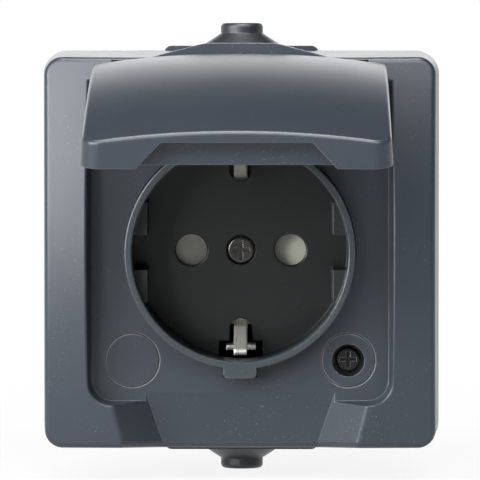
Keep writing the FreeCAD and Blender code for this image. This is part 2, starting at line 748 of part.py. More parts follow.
def hinge_slots(body):
    """Two slots in the nose for the arms of the lid, with snap-in bearings for the pins."""
    gap = "hinge_side_gap"
    swing = "(hinge_barrel_radius + hinge_side_gap)"
    for sign, name in SIDES:
        middle = "%d * hinge_arm_place" % sign
        near = middle + " - hinge_arm_width / 2 - " + gap
        far = middle + " + hinge_arm_width / 2 + " + gap
        front = "crown_depth"
        block(body, name + "_slot_front", (near, far), ("hinge_depth", front),
              ("hinge_height - 2 * nose_radius", "hinge_height + " + swing), cut=True)
        block(body, name + "_slot_foot", (near, far), ("hinge_depth - " + swing, front),
              ("hinge_height - 2 * nose_radius", "hinge_height"), cut=True)
        rod(body, name + "_slot_round", swing, "hinge_arm_width + 2 * " + gap,
            near, "hinge_depth", "hinge_height", "right", cut=True)
        left_end = middle + " - hinge_pin_length / 2 - " + gap
        right_end = middle + " + hinge_pin_length / 2 + " + gap
        rod(body, name + "_bearing", "hinge_pin_radius + running_gap", "hinge_pin_length + 2 * " + gap,
            left_end, "hinge_depth", "hinge_height", "right", cut=True)
        block(body, name + "_snap_mouth", (left_end, right_end), ("hinge_depth", front),
              ("hinge_height - snap_mouth / 2", "hinge_height + snap_mouth / 2"), cut=True)


# Lid: a domed cover with skirts, a finger notch and two hinge arms, drawn shut about its hinge axis
def make_lid():
    body = new_body("lid")
    free_edge = "(panel_depth + lid_lift - hinge_depth)"
    foot = "-(hinge_height + bed_foot - lid_foot_gap)"
    head = "-(nose_radius + lid_gap)"
    plate = new_sketch(body, "plate_outline", "XZ_Plane", free_edge)
    half = "lid_width / 2"
    outline(plate, [("-" + half, foot), (half, foot), (half, head), ("-" + half, head)])
    pad(body, "plate", plate, "crown_depth - panel_depth", "-lid_draft")
    rounded(body, "plate_corners", "lid_corner", is_lid_corner)
    dome_cut(body, "dome", "dome_radius", "-hinge_height", "hinge_depth")
    rounded(body, "skin_edge", "lid_edge_radius", lambda edge: edge.BoundBox.YMax < 0)
    hollow = body.newObject("PartDesign::Boolean", "hollow")
    hollow.Type = "Cut"
    hollow.setObjects([make_lid_hollow(free_edge, foot, head)])

    notch = new_sketch(body, "notch_outline", "XY_Plane", foot + " - lid_skin")
    top = "-(notch_top_depth - hinge_depth)"
    below = "-(%s - lid_skin)" % free_edge
    outline(notch, [
        ("-notch_width / 2", below), ("notch_width / 2", below), ("notch_width / 2", "-" + free_edge),
        ("notch_top_width / 2", top), ("-notch_top_width / 2", top), ("-notch_width / 2", "-" + free_edge),
    ])
    pocket(body, "notch", notch, "lid_skin + inner_wall_setback")
    wall = new_sketch(body, "inner_wall_outline", "XY_Plane", foot + " + inner_wall_setback")
    side = "(lid_width / 2 - lid_skin / 2)"
    base = "-" + free_edge
    side_top = "-(inner_wall_side_top - hinge_depth)"
    top = "-(inner_wall_top - hinge_depth)"
    outline(wall, [
        ("-" + side, base), (side, base), (side, side_top),
        ("inner_wall_top_width / 2", top), ("-inner_wall_top_width / 2", top), ("-" + side, side_top),
    ])
    pad(body, "inner_wall", wall, "inner_wall_thickness")

    ribs = new_sketch(body, "seal_rib_outline", "XY_Plane", "-hinge_height")
    rib_back = "-(seal_rib_depth - hinge_depth)"
    rib_front = "-(seal_ring_front + lid_skin / 2 - hinge_depth)"
    for inside, outside in (
        ("seal_ring_inner - running_gap - seal_rib_thickness", "seal_ring_inner - running_gap"),
        ("seal_ring_outer + running_gap", "seal_ring_outer + running_gap + seal_rib_thickness"),
    ):
        outline(ribs, [(inside, rib_back), (outside, rib_back), (outside, rib_front), (inside, rib_front)])
    turn(body, "seal_ribs", ribs)

    for sign, name in SIDES:
        near = "%d * hinge_arm_place - hinge_arm_width / 2" % sign
        far = "%d * hinge_arm_place + hinge_arm_width / 2" % sign
        block(body, name + "_arm", (near, far), (free_edge, "hinge_arm_back"), (head + " - lid_skin", "0"))
        rod(body, name + "_barrel", "hinge_barrel_radius", "hinge_arm_width", near, "0", "0", "right")
        rod(body, name + "_barrel_bore", "hinge_pin_radius + running_gap / 2", "hinge_arm_width",
            near, "0", "0", "right", cut=True)
    hang_on_hinge(body)
    return body


def make_lid_hollow(free_edge, foot, head):
    """The space inside the lid's skirts and under its domed skin."""
    body = new_body("lid_hollow")
    space = new_sketch(body, "space_outline", "XZ_Plane", free_edge)
    half = "(lid_width / 2 - lid_skin)"
    foot = "(%s + lid_skin)" % foot
    head = "(%s - lid_skin)" % head
    outline(space, [("-" + half, foot), (half, foot), (half, head), ("-" + half, head)])
    pad(body, "space", space, "crown_depth - panel_depth", "-lid_draft")
    rounded(body, "space_corners", "lid_corner - lid_skin", is_lid_corner)
    dome_cut(body, "inner_dome", "dome_radius - lid_skin", "-hinge_height", "hinge_depth")
    return body


def is_lid_corner(edge):
    """True for the two upright edges at the free end of the lid."""
    box = edge.BoundBox
    upright = box.YLength > 2 * (box.XLength + box.ZLength)
    return upright and box.Center.z < -number("hinge_height")


def hang_on_hinge(item):
    """Move a piece drawn about the hinge axis to the hinge, swung open."""
    item.Placement = Placement(Vector(), Rotation(Vector(-1, 0, 0), number("lid_open_angle")))
    bind(item, "Placement.Rotation.Angle", "lid_open_angle")
    bind(item, "Placement.Base.y", "-hinge_depth")
    bind(item, "Placement.Base.z", "hinge_height")


# Lid seal: a flat rubber ring in the lid that presses on the rim of the plug well
def make_lid_seal():
    body = new_body("lid_seal")
    back = "rim_depth + seal_press_gap"
    ring = new_sketch(body, "ring_outline", "XZ_Plane", back + " - hinge_depth")
    circle(ring, "0", "-hinge_height", "seal_ring_outer")
    circle(ring, "0", "-hinge_height", "seal_ring_inner")
    pad(body, "ring", ring, "seal_ring_front - (%s)" % back)
    hang_on_hinge(body)
    return body


def group(label, pieces):
    """Several like pieces that share one node."""
    together = doc.addObject("Part::Compound", label)
    together.Label = label
    together.Links = pieces
    return together


# Hinge pins: two short steel pins in the arms of the lid
def make_hinge_pins():
    pins = []
    for sign, name in SIDES:
        pin = doc.addObject("Part::Cylinder", name + "_hinge_pin")
        bind(pin, "Radius", "hinge_pin_radius")
        bind(pin, "Height", "hinge_pin_length")
        near = "%d * hinge_arm_place - hinge_pin_length / 2" % sign
        place(pin, near, "hinge_depth", "hinge_height", "right")
        pins.append(pin)
    return group("lid_hinge_pins", pins)


# Socket pot: the plug well with its collar, flange, side guides and lug
def make_socket_pot():
    body = new_body("socket_pot")
    profile = new_sketch(body, "pot_profile", "XY_Plane")
    floor_back = "-(face_depth - well_floor)"
    outer = "well_radius + well_wall"
    flange_front = "(panel_depth - panel_wall - pot_seal_thickness)"
    flange_back = "-(%s - pot_flange_thickness)" % flange_front
    outline(profile, [
        ("0", floor_back), (outer, floor_back), (outer, flange_back), ("pot_flange_radius", flange_back),
        ("pot_flange_radius", "-" + flange_front), (outer, "-" + flange_front), (outer, "-rim_depth"),
        ("well_radius", "-rim_depth"), ("well_radius", "-face_depth"), ("0", "-face_depth"),
    ])
    turn(body, "pot", profile)
    rounded(body, "rim_edges", "rim_round",
            lambda edge: edge.BoundBox.YMax < TOUCH - number("rim_depth"))
    for sign, name in SIDES:
        for level, end in ENDS:
            side_guide(body, sign, level, "%s_%s_guide" % (name, end))
    block(body, "lug", ("-lug_width / 2", "lug_width / 2"),
          (flange_front + " - pot_flange_thickness / 2", "rim_depth"),
          ("-lug_reach", "-(well_radius + well_wall / 2)"))
    rounded(body, "lug_corners", "lug_round",
            lambda edge: upright_corner(edge, "lug_width / 2", "lug_reach"))
    rod(body, "shutter_boss", "shutter_boss_radius", "face_depth - well_floor / 2 - carrier_front",
        "0", "carrier_front", "0")
    rod(body, "screw_hole", "centre_screw_radius + 2 * screw_gap", "face_depth",
        "0", "carrier_back", "0", cut=True)
    rod(body, "screw_ring", "screw_ring_radius", "face_depth",
        "0", "face_depth - screw_ring_depth", "0", cut=True)
    for sign, name in SIDES:
        rod(body, name + "_pin_hole", "pin_hole_radius", "face_depth",
            "%d * pin_pitch / 2" % sign, "carrier_front", "0", cut=True)
    rounded(body, "pin_hole_edges", "pin_hole_round", is_pin_hole_edge)
    for sign, end in ENDS:
        window = ("earth_window_inner", "earth_window_outer")
        slot = ("earth_slot_inner + earth_slot_width / 2", "earth_window_inner + earth_slot_width / 2")
        arch = "%d * (earth_slot_inner + earth_slot_width / 2)" % sign
        rod(body, end + "_earth_slot_arch", "earth_slot_width / 2",
            "face_depth + well_floor / 2 - carrier_front", "0", "carrier_front", arch, cut=True)
        for part_name, (low, high), width, front in (
            ("earth_slot", slot, "earth_slot_width", "face_depth + well_floor / 2"),
            ("earth_window", window, "earth_window_width", "earth_window_front"),
        ):
            heights = (low, high) if sign > 0 else ("-(%s)" % high, "-(%s)" % low)
            block(body, end + "_" + part_name, ("-%s / 2" % width, width + " / 2"), ("carrier_front", front),
                  heights, cut=True)
    return body


def is_pin_hole_edge(edge):
    """True for the front edges of the two pin holes."""
    box = edge.BoundBox
    in_face = abs(-box.YMin - number("face_depth")) < TOUCH and box.YLength < TOUCH
    return in_face and abs(abs(box.Center.x) - number("pin_pitch / 2")) < TOUCH


def side_guide(body, sign, level, name):
    """One half of a side guide: a flat inside the well, closed by the well's own arc."""
    sketch = new_sketch(body, name + "_outline", "XZ_Plane", "face_depth - well_floor / 2")
    flat = number("guide_flat")
    near, far = number("guide_notch / 2"), number("guide_height / 2")
    reach = number("well_radius + well_wall / 2")
    near_x, far_x = math.sqrt(reach ** 2 - near ** 2), math.sqrt(reach ** 2 - far ** 2)
    low, high = (near, far) if level > 0 else (-far, -near)
    low_x, high_x = (near_x, far_x) if level > 0 else (far_x, near_x)
    low_corner, high_corner = Vector(sign * flat, low, 0), Vector(sign * flat, high, 0)
    low_rim, high_rim = Vector(sign * low_x, low, 0), Vector(sign * high_x, high, 0)
    sketch.addGeometry(Part.LineSegment(high_corner, low_corner), False)
    sketch.addGeometry(Part.LineSegment(low_corner, low_rim), False)
    middle = Vector(sign * math.sqrt(reach ** 2 - ((low + high) / 2) ** 2), (low + high) / 2, 0)
    sketch.addGeometry(Part.Arc(low_rim, middle, high_rim), False)
    sketch.addGeometry(Part.LineSegment(high_rim, high_corner), False)
    pad(body, name, sketch, "guide_front - (face_depth - well_floor / 2)")


# Pot seal: a flat ring between the flange of the pot and the back of the panel
def make_pot_seal():
    body = new_body("pot_seal")
    back = "panel_depth - panel_wall - pot_seal_thickness"
    ring = new_sketch(body, "ring_outline", "XZ_Plane", back)
    circle(ring, "0", "0", "pot_flange_radius - well_gap")
    circle(ring, "0", "0", "well_radius + well_wall + well_gap")
    pad(body, "ring", ring, "pot_seal_thickness")
    block(body, "lug_notch", ("-lug_width / 2 - well_gap", "lug_width / 2 + well_gap"),
          (back, "panel_depth"), ("-lug_reach - well_gap", "-well_radius"), cut=True)
    return body


# Contact carrier: the moulded block that holds the contacts, the strap and the terminals
def make_contact_carrier():
    body = new_body("contact_carrier")
    outer = new_sketch(body, "carrier_outline", "XZ_Plane", "carrier_back")
    rounded_rectangle(outer, "-carrier_width / 2", "carrier_width / 2",
                      "-carrier_height / 2", "carrier_height / 2", "carrier_corner")
    pad(body, "carrier_block", outer, "carrier_front - carrier_back")
    block(body, "strap_groove", ("-strap_width / 2 - well_gap", "strap_width / 2 + well_gap"),
          ("carrier_front - strap_thickness", "carrier_front + cut_spare"),
          ("-carrier_height", "carrier_height"), cut=True)
    rod(body, "centre_hole", "centre_screw_radius + well_gap", "carrier_front",
        "0", "chamber_back", "0", cut=True)
    pocket_half = "(terminal_height / 2 + terminal_gap)"
    inner = "(terminal_place - terminal_width / 2 - terminal_gap)"
    outer_end = "(carrier_width / 2 + cut_spare)"
    for sign, name in SIDES:
        rod(body, name + "_chamber", "chamber_radius", "carrier_front",
            "%d * pin_pitch / 2" % sign, "chamber_back", "0", cut=True)
        pocket_x = (inner, outer_end) if sign > 0 else ("-" + outer_end, "-" + inner)
        block(body, name + "_terminal_pocket", pocket_x, ("terminal_back", "carrier_front + cut_spare"),
              ("-" + pocket_half, pocket_half), cut=True)
        tail_end = inner + " + cut_spare"
        tail_x = ("pin_pitch / 2", tail_end) if sign > 0 else ("-(%s)" % tail_end, "-pin_pitch / 2")
        block(body, name + "_tail_slot", tail_x, ("tail_depth", "carrier_front + cut_spare"),
              ("-tail_width / 2 - terminal_gap", "tail_width / 2 + terminal_gap"), cut=True)
    earth_half = "(terminal_width / 2 + terminal_gap)"
    block(body, "earth_pocket", ("-" + pocket_half, pocket_half),
          ("terminal_back + earth_terminal_rise", "carrier_front + cut_spare"),
          ("-earth_terminal_place - " + earth_half, "-earth_terminal_place + " + earth_half), cut=True)
    block(body, "earth_wire_way", ("-wire_window_width / 2", "wire_window_width / 2"),
          ("wire_window_back + earth_terminal_rise", "carrier_front + cut_spare"),
          ("-carrier_height", "-earth_terminal_place"), cut=True)
    for sign, name in PAIR:
        x = "%d * carrier_screw_x" % sign
        z = "%d * carrier_screw_z" % sign
        rod(body, name + "_screw_hole", "centre_screw_radius + 2 * screw_gap", "carrier_front",
            x, "box_floor", z, cut=True)
        rod(body, name + "_screw_well", "carrier_head_radius + well_gap", "carrier_front",
            x, "carrier_seat_depth", z, cut=True)
    return body


# Line and neutral contacts: a slotted brass sleeve with a tail for its terminal
def make_contact(label, sign):
    body = new_body(label)
    ring = new_sketch(body, "sleeve_outline", "XZ_Plane", "chamber_back")
    circle(ring, "pin_pitch / 2", "0", "sleeve_outer")
    circle(ring, "pin_pitch / 2", "0", "sleeve_inner")
    pad(body, "sleeve", ring, "sleeve_length")
    block(body, "slit", ("0", "pin_pitch / 2"), ("chamber_back + sleeve_length / 4", "carrier_front"),
          ("-sleeve_slot / 2", "sleeve_slot / 2"), cut=True)
    block(body, "tail", ("pin_pitch / 2 + (sleeve_outer + sleeve_inner) / 2", "terminal_place"),
          ("wire_window_back", "wire_window_back + tail_thickness"), ("-tail_width / 2", "tail_width / 2"))
    body.Placement = Placement(Vector(), Rotation(Vector(0, 1, 0), 0 if sign > 0 else 180))
    return body


# Terminals: brass blocks with a window for the wire and a threaded hole from the front
def make_terminal(label, across, up, turn_angle, rise):
    body = new_body(label)
    half_width = "terminal_width / 2"
    half_height = "terminal_height / 2"
    block(body, "body_block", ("-" + half_width, half_width), ("terminal_back", "terminal_front"),
          ("-" + half_height, half_height))
    block(body, "wire_window", ("-terminal_width", "terminal_width"),
          ("wire_window_back", "wire_window_back + wire_window_width"),
          ("-wire_window_width / 2", "wire_window_width / 2"), cut=True)
    rod(body, "screw_thread", "terminal_screw_radius + screw_gap", "terminal_front",
        "0", "wire_window_back + cut_spare", "0", cut=True)
    stand_turned(body, across, up, turn_angle, rise)
    return body


def stand_turned(item, across, up, turn_angle, rise):
    """Move a piece drawn about the well's axis to its own place, turned about that direction."""
    item.Placement = Placement(Vector(), Rotation(Vector(0, 1, 0), turn_angle))
    bind(item, "Placement.Base.x", across)
    bind(item, "Placement.Base.y", "-(%s)" % rise)
    bind(item, "Placement.Base.z", up)


TERMINALS = {
    "line_terminal": ("terminal_place", "0", 0, "0"),
    "neutral_terminal": ("-terminal_place", "0", 180, "0"),
    "earth_terminal": ("0", "-earth_terminal_place", 90, "earth_terminal_rise"),
}


def screw(name, head_radius, head_height, radius, length, seat, recess=None):
    """A screw along the well's axis: a head on its seat, a shank and perhaps a cross recess."""
    body = new_body(name)
    profile = new_sketch(body, name + "_profile", "XY_Plane")
    tip = "-(%s - %s)" % (seat, length)
    under = "-(%s)" % seat
    top = "%s + %s" % (seat, head_height)
    outline(profile, [
        ("0", tip), (radius, tip), (radius, under),
        (head_radius, under), (head_radius, "-(%s)" % top), ("0", "-(%s)" % top),
    ])
    turn(body, name + "_turned", profile)
    if recess:
        front = number(top)
        rounded(body, name + "_head_edge", recess + "_head_round",
                lambda edge: edge.BoundBox.YMax < TOUCH - front)
        long_half, wide_half = recess + "_recess_length / 2", recess + "_recess_width / 2"
        depths = ("%s - %s_recess_depth" % (top, recess), top + " + cut_spare")
        block(body, name + "_recess_across", ("-" + long_half, long_half), depths,
              ("-" + wide_half, wide_half), cut=True)
        block(body, name + "_recess_up", ("-" + wide_half, wide_half), depths,
              ("-" + long_half, long_half), cut=True)
    return body


# Terminal screws: one in each terminal, the earth one through the strap
def make_terminal_screws():
    screws = []
    for label, (across, up, turn_angle, rise) in TERMINALS.items():
        seat = "terminal_front" if label != "earth_terminal" else "(terminal_front + strap_thickness)"
        piece = screw(label + "_screw", "terminal_head_radius", "terminal_head_height",
                      "terminal_screw_radius", "terminal_screw_length", seat)
        stand_turned(piece, across, up, turn_angle, rise)
        screws.append(piece)
    return group("terminal_screws", screws)


# Earth bracket: one bent strap whose two ends rise through the face as sprung clips
def make_earth_bracket():
    body = new_body("earth_bracket")
    back = "(carrier_front - strap_thickness)"
    block(body, "strap", ("-strap_width / 2", "strap_width / 2"), (back, "carrier_front"),
          ("-strap_waist", "strap_waist"))
    block(body, "strap_ends", ("-clip_width / 2", "clip_width / 2"), (back, "carrier_front"),
          ("-clip_foot - strap_thickness", "clip_foot + strap_thickness"))
    for sign, end in ENDS:
        s = "%d * " % sign
        for part_name, width, inner in (
            ("clip_root", "clip_wing_width", [("clip_foot", back),
                                              ("clip_foot", "(face_depth + well_floor / 2)")]),
            ("clip", "clip_width", [("clip_foot", back), ("clip_foot", "face_depth"),
                                    ("clip_tip", "clip_tip_depth"), ("clip_end", "clip_end_depth")]),
        ):
            sketch = new_sketch(body, "%s_%s_outline" % (end, part_name), "YZ_Plane", "-%s / 2" % width)
            inside = [("-" + depth, s + "(%s)" % up) for up, depth in inner]
            outside = [("-" + depth, s + "(%s + strap_thickness)" % up) for up, depth in reversed(inner)]
            outline(sketch, inside + outside)
            pad(body, "%s_%s" % (end, part_name), sketch, width)
    rod(body, "centre_thread", "centre_screw_radius + screw_gap", "carrier_front",
        "0", "carrier_back", "0", cut=True)
    rod(body, "terminal_hole", "terminal_screw_radius + screw_gap", "carrier_front",
        "0", "carrier_back", "-earth_terminal_place", cut=True)
    rounded(body, "clip_tips", "clip_tip_round", is_clip_bend)
    return body


def is_clip_bend(edge):
    """True for the edges across the inner bend of the two clips."""
    box = edge.BoundBox
    at_tip = abs(-box.Center.y - number("clip_tip_depth")) < number("clip_tip_round")
    return at_tip and abs(box.XLength - number("clip_width")) < TOUCH and box.YLength < TOUCH


# Shutter: a bar on a hub that covers both pin holes and turns aside for the plug
def make_shutter():
    body = new_body("shutter")
    back = "(face_depth - well_floor - shutter_gap - shutter_thickness)"
    bar = new_sketch(body, "bar_outline", "XZ_Plane", back)
    rounded_rectangle(bar, "-shutter_reach", "shutter_reach", "-shutter_width / 2", "shutter_width / 2",
                      "shutter_corner")
    pad(body, "bar", bar, "shutter_thickness")
    rod(body, "hub", "shutter_hub_radius", back + " - carrier_front",
        "0", "carrier_front + shutter_gap", "0")
    rod(body, "hub_bore", "shutter_boss_radius + running_gap", "face_depth",
        "0", "carrier_back", "0", cut=True)
    return body


# Shutter spring: a hairpin of wire round the hub
def make_shutter_spring():
    body = new_body("shutter_spring")
    level = "carrier_front + shutter_gap + 2 * spring_wire_radius"
    path = new_sketch(body, "wire_path", "XZ_Plane", level)
    turn_radius = number("shutter_hub_radius + 2 * spring_wire_radius")
    leg = number("spring_leg")
    path.addGeometry(Part.LineSegment(Vector(leg, turn_radius, 0), Vector(0, turn_radius, 0)), False)
    left, bottom = Vector(-turn_radius, 0, 0), Vector(0, -turn_radius, 0)
    path.addGeometry(Part.Arc(Vector(0, turn_radius, 0), left, bottom), False)
    path.addGeometry(Part.LineSegment(bottom, Vector(leg, -turn_radius, 0)), False)
    section = new_sketch(body, "wire_section", "YZ_Plane", "spring_leg")
    circle(section, "-(%s)" % level, "shutter_hub_radius + 2 * spring_wire_radius", "spring_wire_radius")
    wire = body.newObject("PartDesign::AdditivePipe", "wire")
    wire.Profile = section
    wire.Spine = (path, ["Edge1", "Edge2", "Edge3"])
    return body


# Centre screw: holds the pot against the earth bracket
def make_centre_screw():
    return screw("centre_screw", "centre_head_radius", "centre_head_height", "centre_screw_radius",
                 "centre_screw_length", "(face_depth - screw_ring_depth)", "centre")


# Cover screws: hold the front housing on the posts of the back box
def make_cover_screws():
    screws = []
    for sign, name in PAIR:
        piece = screw(name + "_cover_screw", "cover_head_radius", "cover_head_height",
                      "cover_screw_radius", "cover_screw_length", "cover_seat_depth", "cover")
        stand_turned(piece, "%d * cover_screw_place" % sign, "%d * cover_screw_place" % -sign, 0, "0")
        screws.append(piece)
    return group("cover_screws", screws)


# Carrier screws: hold the contact carrier on its posts
def make_carrier_screws():
    screws = []
    for sign, name in PAIR:
        piece = screw(name + "_carrier_screw", "carrier_head_radius", "carrier_head_height",
                      "centre_screw_radius", "carrier_screw_length", "carrier_seat_depth")
        stand_turned(piece, "%d * carrier_screw_x" % sign, "%d * carrier_screw_z" % sign, 0, "0")
        screws.append(piece)
    return group("carrier_screws", screws)


# Cable grommets: rubber cones with a closed tip, held by their neck in the wall of the entry
def make_grommet(label, sign):
    body = new_body(label)
    profile = new_sketch(body, "grommet_profile", "XZ_Plane")
    neck = "entry_radius - grommet_neck_gap"
    low = "entry_seat_height - grommet_inner_thickness"
    tip = "grommet_cap_top - grommet_skin"
    outline(profile, [
        ("grommet_bore", low), ("grommet_inner_radius", low),
        ("grommet_inner_radius", "entry_seat_height"),
        (neck, "entry_seat_height"), (neck, "boss_reach"), ("grommet_cone_radius", "boss_reach"),
        ("grommet_cap_radius", "grommet_cone_top"), ("grommet_cap_radius", "grommet_cap_top"),
        ("0", "grommet_cap_top"), ("0", tip), ("grommet_bore", tip),
    ])
    turn(body, "grommet", profile)
    rounded(body, "cap_edge", "grommet_cap_round",
            lambda edge: edge.BoundBox.ZMin > number("grommet_cap_top") - TOUCH)
    body.Placement = Placement(Vector(), Rotation(Vector(0, 1, 0), 0 if sign > 0 else 180))
    bind(body, "Placement.Base.y", "-entry_depth")
    return body


NODES = [
    make_back_box(),
    make_housing_seal(),
    make_front_housing(),
    make_lid(),
    make_lid_seal(),
    make_hinge_pins(),
    make_socket_pot(),
    make_pot_seal(),
    make_contact_carrier(),
    make_contact("line_contact", 1),
    make_contact("neutral_contact", -1),
    make_earth_bracket(),
    make_terminal("line_terminal", *TERMINALS["line_terminal"]),
    make_terminal("neutral_terminal", *TERMINALS["neutral_terminal"]),
    make_terminal("earth_terminal", *TERMINALS["earth_terminal"]),
    make_terminal_screws(),
    make_shutter(),
    make_shutter_spring(),
    make_centre_screw(),
    make_cover_screws(),
    make_carrier_screws(),
    make_grommet("cable_grommet_top", 1),
    make_grommet("cable_grommet_bottom", -1),
]

doc.recompute()
faults = [item.Name for item in doc.Objects if "Invalid" in item.State or "Error" in item.State]
if faults:
    raise RuntimeError("These objects failed: " + ", ".join(faults))
for node in NODES:
    shape = node.Shape
    if shape.isNull() or not shape.isValid():
        raise RuntimeError("No valid shape: " + node.Label)
    print(node.Label, len(shape.Solids), round(shape.Volume, 1))
os.makedirs("parts", exist_ok=True)
for node in NODES:
    node.Shape.exportStep("parts/%s.step" % node.Label)
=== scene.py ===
# %% [markdown]
# # An outdoor wall socket with its weather lid standing open
# The real object is moulded in dark grey plastic: a square domed housing with a round plug well in it, a hinged
# lid above the well, and soft rubber cable entries above and below. Every solid comes from the CAD model, so the
# lesson is about finish: smooth shading on moulded parts, rounded edges that catch the light, a fine moulded
# grain, bare metal inside the well, and light that shows the curve of the dome.

# %% Load the frame and keep its box
import json
import math

import bmesh
import bpy
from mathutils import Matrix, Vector


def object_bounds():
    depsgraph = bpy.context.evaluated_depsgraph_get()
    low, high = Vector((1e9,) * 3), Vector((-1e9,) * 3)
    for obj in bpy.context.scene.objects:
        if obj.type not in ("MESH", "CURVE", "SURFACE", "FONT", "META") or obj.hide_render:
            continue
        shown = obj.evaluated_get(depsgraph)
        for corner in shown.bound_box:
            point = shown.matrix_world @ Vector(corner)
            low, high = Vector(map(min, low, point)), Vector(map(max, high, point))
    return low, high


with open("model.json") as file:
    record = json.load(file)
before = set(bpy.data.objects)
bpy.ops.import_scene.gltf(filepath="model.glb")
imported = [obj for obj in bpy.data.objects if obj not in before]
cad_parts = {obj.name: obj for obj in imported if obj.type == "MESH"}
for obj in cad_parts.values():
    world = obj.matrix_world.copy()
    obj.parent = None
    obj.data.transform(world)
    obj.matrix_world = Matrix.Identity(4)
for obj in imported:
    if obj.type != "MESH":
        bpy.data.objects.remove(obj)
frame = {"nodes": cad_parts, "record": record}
nodes = frame["nodes"]
cad_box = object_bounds()
print("solids in the frame:", len(nodes))
print("box of the solids:", [[round(v, 4) for v in corner] for corner in cad_box])

# %% [markdown]
# ## Lengths
# Blender works in metres, and a socket is read in millimetres, so one named length keeps the numbers readable.

# %% One millimetre
MM = 0.001


# %% [markdown]
# ## Node helpers
# A material is a small network of nodes. Two short helpers keep each network readable: one adds a node and sets
# its plain values, the other builds a node group with named sockets, so that an effect is made once and used by
# several materials.

# %% Helpers that add nodes and groups
def add_node(tree, kind, label, **values):
    node = tree.nodes.new(kind)
    node.label = label
    node.name = label
    for name, value in values.items():
        setattr(node, name, value)
    return node


def new_group(name, inputs, outputs):
    tree = bpy.data.node_groups.new(name, "ShaderNodeTree")
    for socket, kind, value in inputs:
        made = tree.interface.new_socket(name=socket, in_out="INPUT", socket_type=kind)
        if value is not None:
            made.default_value = value
    for socket, kind in outputs:
        tree.interface.new_socket(name=socket, in_out="OUTPUT", socket_type=kind)
    start = add_node(tree, "NodeGroupInput", "in", location=(-900, 0))
    end = add_node(tree, "NodeGroupOutput", "out", location=(600, 0))
    return tree, start, end


def group_node(tree, group, label):
    node = add_node(tree, "ShaderNodeGroup", label)
    node.node_tree = group
    return node


# %% [markdown]
# ## Moulded grain
# A spark-eroded mould leaves a fine, even pebble on the plastic, about a tenth of a millimetre across. It is too
# small to model, but it breaks up the gloss. Noise read in object space gives its height, and a slower noise
# gives the faint cloudy change of sheen that a large moulding shows.

# %% The grain group
def moulded_grain():
    tree, start, end = new_group(
        "moulded grain",
        [
            ("Grain size", "NodeSocketFloat", 0.12 * MM),
            ("Cloud size", "NodeSocketFloat", 14 * MM),
        ],
        [("Height", "NodeSocketFloat"), ("Cloud", "NodeSocketFloat")],
    )
    link = tree.links.new
    place = add_node(tree, "ShaderNodeTexCoord", "object space", location=(-900, -300))
    fine_scale = add_node(tree, "ShaderNodeMath", "grains per metre", operation="DIVIDE")
    fine_scale.inputs[0].default_value = 1.0
    link(start.outputs["Grain size"], fine_scale.inputs[1])
    cloud_scale = add_node(tree, "ShaderNodeMath", "clouds per metre", operation="DIVIDE")
    cloud_scale.inputs[0].default_value = 1.0
    link(start.outputs["Cloud size"], cloud_scale.inputs[1])
    pebble = add_node(tree, "ShaderNodeTexNoise", "pebble")
    pebble.inputs["Detail"].default_value = 2.0
    pebble.inputs["Roughness"].default_value = 0.55
    cloud = add_node(tree, "ShaderNodeTexNoise", "cloud")
    cloud.inputs["Detail"].default_value = 3.0
    link(place.outputs["Object"], pebble.inputs["Vector"])
    link(place.outputs["Object"], cloud.inputs["Vector"])
    link(fine_scale.outputs[0], pebble.inputs["Scale"])
    link(cloud_scale.outputs[0], cloud.inputs["Scale"])
    link(pebble.outputs["Fac"], end.inputs["Height"])
    link(cloud.outputs["Fac"], end.inputs["Cloud"])
    return tree


GRAIN = moulded_grain()
print("group:", GRAIN.name)


# %% [markdown]
# ## Soft edges
# No moulded edge is truly sharp, and it is the thin line of light along it that shows the shape. The Bevel node
# rounds the shading across an edge without new faces. Where the rounded direction leaves the true one there is an
# edge, so the same node gives a mask for a painted highlight that lightens the colour along the edge, and for a
# little more gloss there. The two limits are cosines of the angle between the two directions.

# %% The edge group
EDGE_STARTS = 0.995
EDGE_FULL = 0.80


def soft_edges():
    tree, start, end = new_group(
        "soft edges",
        [("Radius", "NodeSocketFloat", 0.3 * MM)],
        [("Normal", "NodeSocketVector"), ("Edge", "NodeSocketFloat")],
    )
    link = tree.links.new
    rounded = add_node(tree, "ShaderNodeBevel", "rounded direction", samples=6)
    true = add_node(tree, "ShaderNodeNewGeometry", "true direction")
    match = add_node(tree, "ShaderNodeVectorMath", "how alike", operation="DOT_PRODUCT")
    edge = add_node(tree, "ShaderNodeMapRange", "edge mask")
    edge.inputs["From Min"].default_value = EDGE_STARTS
    edge.inputs["From Max"].default_value = EDGE_FULL
    link(start.outputs["Radius"], rounded.inputs["Radius"])
    link(rounded.outputs["Normal"], match.inputs[0])
    link(true.outputs["Normal"], match.inputs[1])
    link(match.outputs["Value"], edge.inputs["Value"])
    link(rounded.outputs["Normal"], end.inputs["Normal"])
    link(edge.outputs["Result"], end.inputs["Edge"])
    return tree


EDGES = soft_edges()
print("group:", EDGES.name)


# %% [markdown]
# ## Dust and tiny nicks
# An outdoor part carries pale specks: dust in the corners and tiny nicks on its faces. A fine noise cut off near
# its top leaves small separate dots, and a slow noise gathers them into patches, so that they don't look even.

# %% The speck group
SPECK_SIZE = 0.35 * MM
SPECK_CUT = (0.67, 0.78)
PATCH_SIZE = 9 * MM
PATCH_CUT = (0.44, 0.62)


